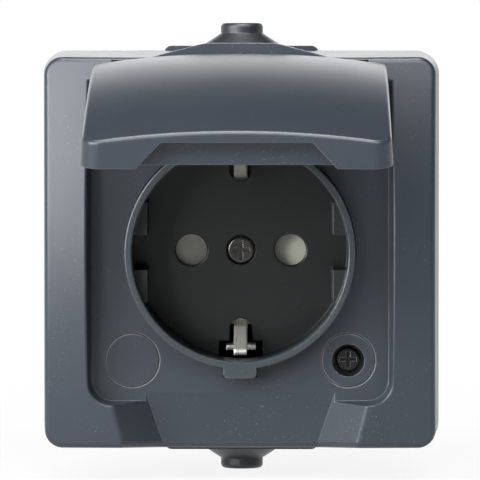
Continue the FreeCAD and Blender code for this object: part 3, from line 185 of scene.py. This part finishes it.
def fine_specks():
    tree, start, end = new_group(
        "fine specks",
        [("Amount", "NodeSocketFloat", 1.0)],
        [("Specks", "NodeSocketFloat")],
    )
    link = tree.links.new
    place = add_node(tree, "ShaderNodeTexCoord", "object space", location=(-900, -300))
    dots = add_node(tree, "ShaderNodeTexNoise", "dots")
    dots.inputs["Scale"].default_value = 1.0 / SPECK_SIZE
    dots.inputs["Detail"].default_value = 1.0
    cut = add_node(tree, "ShaderNodeMapRange", "only the tops")
    cut.inputs["From Min"].default_value, cut.inputs["From Max"].default_value = SPECK_CUT
    patches = add_node(tree, "ShaderNodeTexNoise", "patches")
    patches.inputs["Scale"].default_value = 1.0 / PATCH_SIZE
    some = add_node(tree, "ShaderNodeMapRange", "some places")
    some.inputs["From Min"].default_value, some.inputs["From Max"].default_value = PATCH_CUT
    both = add_node(tree, "ShaderNodeMath", "dots in patches", operation="MULTIPLY")
    scaled = add_node(tree, "ShaderNodeMath", "by the amount", operation="MULTIPLY")
    link(place.outputs["Object"], dots.inputs["Vector"])
    link(place.outputs["Object"], patches.inputs["Vector"])
    link(dots.outputs["Fac"], cut.inputs["Value"])
    link(patches.outputs["Fac"], some.inputs["Value"])
    link(cut.outputs["Result"], both.inputs[0])
    link(some.outputs["Result"], both.inputs[1])
    link(both.outputs[0], scaled.inputs[0])
    link(start.outputs["Amount"], scaled.inputs[1])
    link(scaled.outputs[0], end.inputs["Specks"])
    return tree


SPECKS = fine_specks()
print("group:", SPECKS.name)


# %% [markdown]
# ## Moulded plastic and rubber
# One recipe serves every moulded part: a colour that shifts a little with the cloud and is lighter along the edges
# as a painted highlight, pale dust specks, a sheen that the cloud and the glossier edges vary, and the grain as a
# bump on the rounded direction. Colour and sheen differ for each part.

# %% The moulded material
CLOUD_DARKER = 0.92
CLOUD_LIGHTER = 1.08
# How much lighter the colour turns along the edges: a painted highlight.
EDGE_HIGHLIGHT_RISE = 0.26
DUST_RISE = 0.35
SHEEN_SPREAD = 0.03
EDGE_GLOSS = 0.75


def moulded(name, colour, roughness, grain=0.12 * MM, depth=0.006 * MM, radius=0.22 * MM, edge_highlight_and_gloss=0.8, dust=0.30):
    material = bpy.data.materials.new(name)
    material.use_nodes = True
    tree = material.node_tree
    link = tree.links.new
    shader = tree.nodes["Principled BSDF"]
    grains = group_node(tree, GRAIN, "grain")
    grains.inputs["Grain size"].default_value = grain
    edges = group_node(tree, EDGES, "edges")
    edges.inputs["Radius"].default_value = radius
    deep = [c * CLOUD_DARKER for c in colour]
    light = [min(1.0, c * CLOUD_LIGHTER) for c in colour]
    # Painted highlight: the lighter colour that the edge mask mixes in along every edge.
    edge_highlight = [c + EDGE_HIGHLIGHT_RISE for c in colour]
    dusty = [c + DUST_RISE for c in colour]
    tone = add_node(tree, "ShaderNodeMix", "tone", data_type="RGBA")
    tone.inputs["A"].default_value = (*deep, 1.0)
    tone.inputs["B"].default_value = (*light, 1.0)
    edge_highlight_tone = add_node(tree, "ShaderNodeMix", "edge tone", data_type="RGBA")
    edge_highlight_tone.inputs["B"].default_value = (*edge_highlight, 1.0)
    edge_share = add_node(tree, "ShaderNodeMath", "share of edge highlight and gloss", operation="MULTIPLY")
    edge_share.inputs[1].default_value = edge_highlight_and_gloss
    sheen = add_node(tree, "ShaderNodeMapRange", "sheen by cloud")
    sheen.inputs["To Min"].default_value = roughness - SHEEN_SPREAD
    sheen.inputs["To Max"].default_value = roughness + SHEEN_SPREAD
    edge_sheen = add_node(tree, "ShaderNodeMix", "sheen at edges")
    edge_sheen.inputs["B"].default_value = roughness * EDGE_GLOSS
    bump = add_node(tree, "ShaderNodeBump", "grain bump")
    bump.inputs["Distance"].default_value = depth
    bump.inputs["Strength"].default_value = 1.0
    link(grains.outputs["Cloud"], tone.inputs["Factor"])
    link(tone.outputs["Result"], edge_highlight_tone.inputs["A"])
    link(edges.outputs["Edge"], edge_share.inputs[0])
    link(edge_share.outputs[0], edge_highlight_tone.inputs["Factor"])
    specks = group_node(tree, SPECKS, "specks")
    specks.inputs["Amount"].default_value = dust
    speck_tone = add_node(tree, "ShaderNodeMix", "speck tone", data_type="RGBA")
    speck_tone.inputs["B"].default_value = (*dusty, 1.0)
    link(specks.outputs["Specks"], speck_tone.inputs["Factor"])
    link(edge_highlight_tone.outputs["Result"], speck_tone.inputs["A"])
    link(speck_tone.outputs["Result"], shader.inputs["Base Color"])
    link(grains.outputs["Cloud"], sheen.inputs["Value"])
    link(sheen.outputs["Result"], edge_sheen.inputs["A"])
    link(edge_share.outputs[0], edge_sheen.inputs["Factor"])
    link(edge_sheen.outputs["Result"], shader.inputs["Roughness"])
    link(grains.outputs["Height"], bump.inputs["Height"])
    link(edges.outputs["Normal"], bump.inputs["Normal"])
    link(bump.outputs["Normal"], shader.inputs["Normal"])
    return material


# %% [markdown]
# ## Painted shade deep in the pot
# The rim of the pot is as smooth as the housing, and deeper in the well its colour fades to nearly black: painted
# shade for the shade of the deep well. Depth is the Y axis of the model, so the Y of the object coordinates fades
# one tone into the other. The mould's ejector pins leave faint rings on that face, which are two thin circles in
# the bump.

# %% Painted shade by depth, and ejector marks
EJECTOR_MARKS = (((0.0066, 0.0112), 0.0030), ((0.0094, -0.0090), 0.0026))
MARK_WIDTH = 0.00012
MARK_HEIGHT = 6.0
POT_RIM_Y = -0.0465
POT_DEEP_Y = -0.0440


def paint_depth_shade(material, painted_shade_tone, rim_y, deep_y):
    tree = material.node_tree
    link = tree.links.new
    shader = tree.nodes["Principled BSDF"]
    place = add_node(tree, "ShaderNodeTexCoord", "object space")
    parts = add_node(tree, "ShaderNodeSeparateXYZ", "parts")
    depth = add_node(tree, "ShaderNodeMapRange", "depth in the well", interpolation_type="SMOOTHSTEP")
    depth.inputs["From Min"].default_value = rim_y
    depth.inputs["From Max"].default_value = deep_y
    # Painted shade: deeper in the well the colour is mixed towards a nearly black tone.
    tone = add_node(tree, "ShaderNodeMix", "painted shade in the well", data_type="RGBA")
    tone.inputs["B"].default_value = (*painted_shade_tone, 1.0)
    link(place.outputs["Object"], parts.inputs[0])
    link(parts.outputs["Y"], depth.inputs["Value"])
    link(depth.outputs["Result"], tone.inputs["Factor"])
    link(shader.inputs["Base Color"].links[0].from_socket, tone.inputs["A"])
    link(tone.outputs["Result"], shader.inputs["Base Color"])
    flat = add_node(tree, "ShaderNodeCombineXYZ", "place on the face")
    link(parts.outputs["X"], flat.inputs["X"])
    link(parts.outputs["Z"], flat.inputs["Z"])
    height = tree.nodes["grain"].outputs["Height"]
    for (across, up), radius in EJECTOR_MARKS:
        centre = add_node(tree, "ShaderNodeVectorMath", "distance from a pin", operation="DISTANCE")
        centre.inputs[1].default_value = (across, 0.0, up)
        ring = add_node(tree, "ShaderNodeMath", "on its ring", operation="COMPARE")
        ring.inputs[1].default_value = radius
        ring.inputs[2].default_value = MARK_WIDTH
        raised = add_node(tree, "ShaderNodeMath", "raised ring", operation="MULTIPLY_ADD")
        raised.inputs[1].default_value = MARK_HEIGHT
        link(flat.outputs["Vector"], centre.inputs[0])
        link(centre.outputs["Value"], ring.inputs[0])
        link(ring.outputs[0], raised.inputs[0])
        link(height, raised.inputs[2])
        height = raised.outputs[0]
    link(height, tree.nodes["grain bump"].inputs["Height"])


# %% [markdown]
# ## The crown of the lid
# The lid's dome is a part of a sphere, and its triangles meet in one point at the crown, where the stored
# direction is a few degrees out. Within the ring of triangles round that point the direction of the sphere is
# used, which is the line from its centre. The inner skin lies deeper and keeps its own direction.

# %% True direction at the crown
CROWN = Vector((0.0, -0.081222, 0.032654))
CROWN_AXIS = Vector((0.0, -0.25277, 0.96753))
DOME_RADIUS = 0.185
CROWN_RING = 3.5 * MM
SKIN_DEPTH = 0.4 * MM


def true_crown(material):
    tree = material.node_tree
    link = tree.links.new
    place = add_node(tree, "ShaderNodeTexCoord", "place on the lid")
    away = add_node(tree, "ShaderNodeVectorMath", "from the crown", operation="SUBTRACT")
    away.inputs[1].default_value = CROWN
    length = add_node(tree, "ShaderNodeVectorMath", "distance from the crown", operation="LENGTH")
    near = add_node(tree, "ShaderNodeMapRange", "near the crown", interpolation_type="SMOOTHSTEP")
    near.inputs["From Min"].default_value = CROWN_RING * 1.2
    near.inputs["From Max"].default_value = CROWN_RING
    height = add_node(tree, "ShaderNodeVectorMath", "height along the axis", operation="DOT_PRODUCT")
    height.inputs[1].default_value = CROWN_AXIS
    outer = add_node(tree, "ShaderNodeMath", "outer skin", operation="GREATER_THAN")
    outer.inputs[1].default_value = -SKIN_DEPTH
    both = add_node(tree, "ShaderNodeMath", "crown of the outer skin", operation="MULTIPLY")
    radial = add_node(tree, "ShaderNodeVectorMath", "from the sphere's centre", operation="SUBTRACT")
    radial.inputs[1].default_value = CROWN - CROWN_AXIS * DOME_RADIUS
    turned = add_node(tree, "ShaderNodeVectorTransform", "into the room", vector_type="NORMAL")
    turned.convert_from = "OBJECT"
    turned.convert_to = "WORLD"
    unit = add_node(tree, "ShaderNodeVectorMath", "unit direction", operation="NORMALIZE")
    chosen = add_node(tree, "ShaderNodeMix", "direction at the crown", data_type="VECTOR")
    link(place.outputs["Object"], away.inputs[0])
    link(away.outputs["Vector"], length.inputs[0])
    link(length.outputs["Value"], near.inputs["Value"])
    link(away.outputs["Vector"], height.inputs[0])
    link(height.outputs["Value"], outer.inputs[0])
    link(near.outputs["Result"], both.inputs[0])
    link(outer.outputs[0], both.inputs[1])
    link(place.outputs["Object"], radial.inputs[0])
    link(radial.outputs["Vector"], turned.inputs[0])
    link(turned.outputs[0], unit.inputs[0])
    link(both.outputs[0], chosen.inputs["Factor"])
    link(tree.nodes["edges"].outputs["Normal"], chosen.inputs["A"])
    link(unit.outputs["Vector"], chosen.inputs["B"])
    link(chosen.outputs["Result"], tree.nodes["grain bump"].inputs["Normal"])


# %% [markdown]
# ## Metal
# The clips, pins and screws are plated or bare. Rolled strip and turned heads show fine lines, so a stretched
# noise varies the sheen, and a slow noise darkens the metal where it has tarnished. Along the edges the colour is
# lightened as a painted highlight, which draws the bright ring round a screw head.

# %% The metal material
LINES_PER_METRE = 2500.0
STAINS_PER_METRE = 180.0
METAL_SPREAD = 0.08
LEAST_ROUGHNESS = 0.05
# How much lighter the metal turns along its edges: a painted highlight.
METAL_EDGE_HIGHLIGHT_RISE = 0.55
LINE_DEPTH = 0.002 * MM


def metal(name, colour, roughness, lines=(1.0, 1.0, 1.0), tarnish=0.25, metallic=1.0, radius=0.12 * MM):
    material = bpy.data.materials.new(name)
    material.use_nodes = True
    tree = material.node_tree
    link = tree.links.new
    shader = tree.nodes["Principled BSDF"]
    shader.inputs["Metallic"].default_value = metallic
    place = add_node(tree, "ShaderNodeTexCoord", "object space")
    stretch = add_node(tree, "ShaderNodeMapping", "along the strip")
    stretch.inputs["Scale"].default_value = lines
    brushed = add_node(tree, "ShaderNodeTexNoise", "fine lines")
    brushed.inputs["Scale"].default_value = LINES_PER_METRE
    brushed.inputs["Detail"].default_value = 2.0
    sheen = add_node(tree, "ShaderNodeMapRange", "sheen")
    sheen.inputs["To Min"].default_value = max(LEAST_ROUGHNESS, roughness - METAL_SPREAD)
    sheen.inputs["To Max"].default_value = roughness + METAL_SPREAD
    stain = add_node(tree, "ShaderNodeTexNoise", "tarnish")
    stain.inputs["Scale"].default_value = STAINS_PER_METRE
    stain.inputs["Detail"].default_value = 4.0
    tone = add_node(tree, "ShaderNodeMix", "tarnished tone", data_type="RGBA")
    tone.inputs["A"].default_value = (*colour, 1.0)
    tone.inputs["B"].default_value = (*[c * (1.0 - tarnish) for c in colour], 1.0)
    edges = group_node(tree, EDGES, "edges")
    edges.inputs["Radius"].default_value = radius
    bump = add_node(tree, "ShaderNodeBump", "line bump")
    bump.inputs["Distance"].default_value = LINE_DEPTH
    link(place.outputs["Object"], stretch.inputs["Vector"])
    link(stretch.outputs["Vector"], brushed.inputs["Vector"])
    link(brushed.outputs["Fac"], sheen.inputs["Value"])
    link(sheen.outputs["Result"], shader.inputs["Roughness"])
    link(place.outputs["Object"], stain.inputs["Vector"])
    link(stain.outputs["Fac"], tone.inputs["Factor"])
    # Painted highlight: the edge mask lightens the metal's colour along every edge.
    edge_highlight = add_node(tree, "ShaderNodeMix", "painted edge highlight", data_type="RGBA")
    edge_highlight.inputs["B"].default_value = (*[min(1.0, c + METAL_EDGE_HIGHLIGHT_RISE) for c in colour], 1.0)
    link(edges.outputs["Edge"], edge_highlight.inputs["Factor"])
    link(tone.outputs["Result"], edge_highlight.inputs["A"])
    link(edge_highlight.outputs["Result"], shader.inputs["Base Color"])
    link(brushed.outputs["Fac"], bump.inputs["Height"])
    link(edges.outputs["Normal"], bump.inputs["Normal"])
    link(bump.outputs["Normal"], shader.inputs["Normal"])
    return material


# %% [markdown]
# ## The finishes of this socket
# The housing, lid and box are one satin dark grey, and the lid has its own copy of it for its crown. The pot
# inside the well is a slightly lighter grey moulding whose deep face is darkened to nearly black as painted shade,
# the shutter behind the pin holes is ivory, and the cable entries are soft rubber.

# %% Finishes by part
ANTHRACITE = (0.028, 0.037, 0.051)
HOUSING = moulded("satin anthracite plastic", ANTHRACITE, 0.34)
LID = moulded("satin anthracite lid", ANTHRACITE, 0.34)
true_crown(LID)
POT = moulded("pot plastic", (0.040, 0.051, 0.059), 0.31)
# Painted shade: the pot's colour darkens to nearly black deeper in the well.
paint_depth_shade(POT, (0.002, 0.004, 0.0045), POT_RIM_Y, POT_DEEP_Y)
GROMMET = moulded("soft grey rubber", (0.018, 0.022, 0.028), 0.42, grain=0.2 * MM, edge_highlight_and_gloss=0.3)
SEAL = moulded("black sealing rubber", (0.012, 0.012, 0.013), 0.7, grain=0.25 * MM, edge_highlight_and_gloss=0.05)
CARRIER = moulded("dark insulating plastic", (0.030, 0.032, 0.034), 0.5)
SHUTTER = moulded("ivory shutter plastic", (0.60, 0.61, 0.50), 0.38)
BRASS = metal("contact brass", (0.78, 0.60, 0.30), 0.28, lines=(1.0, 0.1, 1.0))
NICKEL = metal(
    "nickel plated strip", (0.86, 0.85, 0.80), 0.30, lines=(1.0, 0.08, 0.08), metallic=0.7, radius=0.7 * MM
)
STEEL = metal("zinc plated steel", (0.66, 0.66, 0.64), 0.26)
BLACK_STEEL = metal("blackened screw steel", (0.03, 0.03, 0.03), 0.26, metallic=0.7)
DARK_STEEL = metal("dark screw steel", (0.12, 0.117, 0.11), 0.22, tarnish=0.6, metallic=0.8)

FINISH = {
    "housing_plastic": HOUSING,
    "carrier_plastic": CARRIER,
    "seal_rubber": SEAL,
    "grommet_rubber": GROMMET,
    "plated_steel": STEEL,
    "black_steel": BLACK_STEEL,
    "nickel_plate": NICKEL,
    "contact_brass": BRASS,
    "shutter_ivory": SHUTTER,
}
slot_of = {part["node"]: part["material_slot"] for part in frame["record"]["subparts"]}
print("finishes:", len(FINISH))

# %% [markdown]
# ## The solids keep their own shading
# The CAD solids arrive with the direction of each curved face at every corner, so a dome already shades smooth
# and a flat face stays flat. They are closed shells with their fillets in place. Nothing is gained by
# copying them, so each one keeps its mesh and takes the finish that its slot in the record names.

# %% Finishes on the solids
for name, solid in nodes.items():
    solid.data.materials.clear()
    solid.data.materials.append(FINISH[slot_of[name]])
nodes["lid"].data.materials[0] = LID
nodes["socket_pot"].data.materials[0] = POT
nodes["centre_screw"].data.materials[0] = DARK_STEEL
print("solids with a finish:", len(nodes))

# %% [markdown]
# ## Floor and background
# The socket stands on a white sheet that runs far enough to meet the white background at the horizon. The sheet
# is plain white paint, so it takes the soft shadow of the socket and throws light back up at it. What the camera
# sees of it far from the socket is simply white, and only near the socket the painted, shaded sheet shows.

# %% The floor
FLOOR_REACH = 40.0
FLOOR_LEVEL = cad_box[0][2]
sheet = bmesh.new()
bmesh.ops.create_grid(sheet, x_segments=1, y_segments=1, size=FLOOR_REACH)
bmesh.ops.translate(sheet, verts=sheet.verts, vec=(0, 0, FLOOR_LEVEL))
floor_mesh = bpy.data.meshes.new("floor")
sheet.to_mesh(floor_mesh)
sheet.free()
floor = bpy.data.objects.new("floor", floor_mesh)
bpy.context.scene.collection.objects.link(floor)
print("floor level in mm:", round(FLOOR_LEVEL / MM, 2))

# %% [markdown]
# The floor's material mixes the paint with plain white light. A sphere of distance round the socket says how much
# of the painted floor shows to the camera. Mirror-like surfaces see the white only round the socket and behind
# it, as they would in a room where the paper is lit at the back and the room in front is dim.

# %% The floor's material
SHADOW_SHARE = 0.12
SHADOW_REACH = 0.35
GLOSS_STARTS_Y = -0.32
GLOSS_FULL_Y = -0.18
BOUNCE_TONE = (0.3, 0.3, 0.3, 1.0)
SEEN_TONE = (0.9, 0.9, 0.9, 1.0)
floor_paint = bpy.data.materials.new("white floor")
floor_paint.use_nodes = True
tree = floor_paint.node_tree
link = tree.links.new
paint = tree.nodes["Principled BSDF"]
paint.inputs["Roughness"].default_value = 0.9
place = add_node(tree, "ShaderNodeTexCoord", "place on the floor")
distance = add_node(tree, "ShaderNodeVectorMath", "distance from the socket", operation="LENGTH")
far = add_node(tree, "ShaderNodeMapRange", "far from the socket", interpolation_type="SMOOTHSTEP")
far.inputs["From Max"].default_value = SHADOW_REACH
far.inputs["To Min"].default_value = 1.0 - SHADOW_SHARE
parts = add_node(tree, "ShaderNodeSeparateXYZ", "sides of the floor")
behind = add_node(tree, "ShaderNodeMapRange", "round the socket and behind", interpolation_type="SMOOTHSTEP")
behind.inputs["From Min"].default_value = GLOSS_STARTS_Y
behind.inputs["From Max"].default_value = GLOSS_FULL_Y
ray = add_node(tree, "ShaderNodeLightPath", "kind of ray")
seen = add_node(tree, "ShaderNodeMath", "camera or glass", operation="MAXIMUM")
shown = add_node(tree, "ShaderNodeMath", "white to the camera", operation="MULTIPLY")
mirrored = add_node(tree, "ShaderNodeMath", "white in reflections", operation="MULTIPLY")
share = add_node(tree, "ShaderNodeMath", "share of white", operation="MAXIMUM")
white = add_node(tree, "ShaderNodeEmission", "plain white")
both = add_node(tree, "ShaderNodeMixShader", "paint and white")
link(place.outputs["Object"], distance.inputs[0])
link(distance.outputs["Value"], far.inputs["Value"])
link(place.outputs["Object"], parts.inputs[0])
link(parts.outputs["Y"], behind.inputs["Value"])
bounce = add_node(tree, "ShaderNodeMix", "white paint, dimmer bounce", data_type="RGBA")
bounce.inputs["A"].default_value = BOUNCE_TONE
bounce.inputs["B"].default_value = SEEN_TONE
link(ray.outputs["Is Camera Ray"], bounce.inputs["Factor"])
link(bounce.outputs["Result"], paint.inputs["Base Color"])
link(ray.outputs["Is Camera Ray"], seen.inputs[0])
link(ray.outputs["Is Transmission Ray"], seen.inputs[1])
link(seen.outputs[0], shown.inputs[0])
link(far.outputs["Result"], shown.inputs[1])
link(ray.outputs["Is Glossy Ray"], mirrored.inputs[0])
link(behind.outputs["Result"], mirrored.inputs[1])
link(shown.outputs[0], share.inputs[0])
link(mirrored.outputs[0], share.inputs[1])
link(share.outputs[0], both.inputs["Fac"])
link(paint.outputs[0], both.inputs[1])
link(white.outputs[0], both.inputs[2])
link(both.outputs[0], tree.nodes["Material Output"].inputs["Surface"])
floor_mesh.materials.append(floor_paint)
print("share of the painted floor near the socket:", SHADOW_SHARE)

# %% [markdown]
# ## The room as a world
# The camera sees white all round. The light that the world gives has a direction: behind the socket stands the
# lit white paper, up to about twenty degrees above the floor, and the rest of the room is dim. The low bright
# paper is what makes the open lid shine near its hinge and fade towards its free edge.

# %% The world
ROOM_LIGHT = 0.03
PAPER_LIGHT = 1.0
BEHIND_RANGE = (-0.1, 0.5)
LOW_RANGE = (0.55, 0.15)
world = bpy.data.worlds.new("white paper in a dim room")
bpy.context.scene.world = world
world.use_nodes = True
tree = world.node_tree
link = tree.links.new
back = tree.nodes["Background"]
back.inputs["Color"].default_value = (1.0, 1.0, 1.0, 1.0)
place = add_node(tree, "ShaderNodeTexCoord", "direction")
parts = add_node(tree, "ShaderNodeSeparateXYZ", "parts of the direction")
behind = add_node(tree, "ShaderNodeMapRange", "behind the socket", interpolation_type="SMOOTHSTEP")
behind.inputs["From Min"].default_value, behind.inputs["From Max"].default_value = BEHIND_RANGE
low = add_node(tree, "ShaderNodeMapRange", "low above the floor", interpolation_type="SMOOTHSTEP")
low.inputs["From Min"].default_value, low.inputs["From Max"].default_value = LOW_RANGE
paper = add_node(tree, "ShaderNodeMath", "paper", operation="MULTIPLY")
level = add_node(tree, "ShaderNodeMapRange", "light of the room")
level.inputs["To Min"].default_value = ROOM_LIGHT
level.inputs["To Max"].default_value = PAPER_LIGHT
ray = add_node(tree, "ShaderNodeLightPath", "kind of ray")
seen = add_node(tree, "ShaderNodeMath", "camera or glass", operation="MAXIMUM")
mirrored = add_node(tree, "ShaderNodeMath", "paper in reflections", operation="MULTIPLY")
white_seen = add_node(tree, "ShaderNodeMath", "white seen", operation="MAXIMUM")
strength = add_node(tree, "ShaderNodeMath", "strength", operation="MAXIMUM")
link(place.outputs["Object"], parts.inputs[0])
link(parts.outputs["Y"], behind.inputs["Value"])
link(parts.outputs["Z"], low.inputs["Value"])
link(behind.outputs["Result"], paper.inputs[0])
link(low.outputs["Result"], paper.inputs[1])
link(paper.outputs[0], level.inputs["Value"])
link(ray.outputs["Is Camera Ray"], seen.inputs[0])
link(ray.outputs["Is Transmission Ray"], seen.inputs[1])
link(ray.outputs["Is Glossy Ray"], mirrored.inputs[0])
link(paper.outputs[0], mirrored.inputs[1])
link(seen.outputs[0], white_seen.inputs[0])
link(mirrored.outputs[0], white_seen.inputs[1])
link(white_seen.outputs[0], strength.inputs[0])
link(level.outputs["Result"], strength.inputs[1])
link(strength.outputs[0], back.inputs["Strength"])
print("light of the room:", ROOM_LIGHT, "and of the paper:", PAPER_LIGHT)


# %% [markdown]
# ## Lamps
# The photograph was lit by large soft panels far to the left of the camera and above it. The left panel stands
# so far round that the wall of the lid bed and the collar shade what lies deeper, as in the photograph. Nearer the
# camera stands a tall strip that shows only in the gloss: it is the sheen on the left half of the dome. A low
# panel behind the socket carries the shine of the open lid along its hinge and lights the sloping top, and a
# panel overhead, also for the gloss alone, brightens the cones of the cable glands.

# %% Soft panels
def soft_panel(name, place, aim, width, height, power, gloss_only=False):
    light = bpy.data.lights.new(name, "AREA")
    light.shape = "RECTANGLE"
    light.size = width
    light.size_y = height
    light.energy = power
    lamp = bpy.data.objects.new(name, light)
    lamp.location = place
    lamp.visible_diffuse = not gloss_only
    lamp.rotation_euler = (Vector(aim) - Vector(place)).to_track_quat("-Z", "Y").to_euler()
    bpy.context.scene.collection.objects.link(lamp)
    print(name, "power", power)
    return lamp


CENTRE = (0.0, -0.03, 0.0)
soft_panel("left panel", (-1.05, -0.80, 0.25), CENTRE, 0.70, 1.1, 29.0)
soft_panel("left strip", (-0.62, -1.20, -0.14), CENTRE, 0.42, 1.45, 24.0, gloss_only=True)
soft_panel("back panel", (0.0, 1.15, 0.36), CENTRE, 1.4, 0.30, 2.8)
soft_panel("top panel", (0.05, -0.98, 0.78), CENTRE, 1.4, 0.6, 21.0)
soft_panel("overhead panel", (0.0, -0.25, 1.25), CENTRE, 0.7, 0.7, 22.0, gloss_only=True)

# %% [markdown]
# ## Camera
# The photograph was taken from about a metre away, a hand's width above and just right of the middle, with a
# long lens, so the camera looks slightly down and slightly to the left.

# %% The camera
CAMERA_PLACE = (0.0102, -1.032, 0.040)
LOOK_DOWN = 2.183
LOOK_LEFT = 0.594
LENS = 390.75
SENSOR = 36.0
camera_data = bpy.data.cameras.new("camera")
camera_data.lens = LENS
camera_data.sensor_width = SENSOR
camera_data.clip_start = 0.05
camera = bpy.data.objects.new("camera", camera_data)
camera.location = CAMERA_PLACE
camera.rotation_euler = (math.radians(90 - LOOK_DOWN), 0.0, math.radians(LOOK_LEFT))
bpy.context.scene.collection.objects.link(camera)
bpy.context.scene.camera = camera
bpy.context.scene.view_settings.view_transform = "Standard"
print("lens in mm:", camera_data.lens)
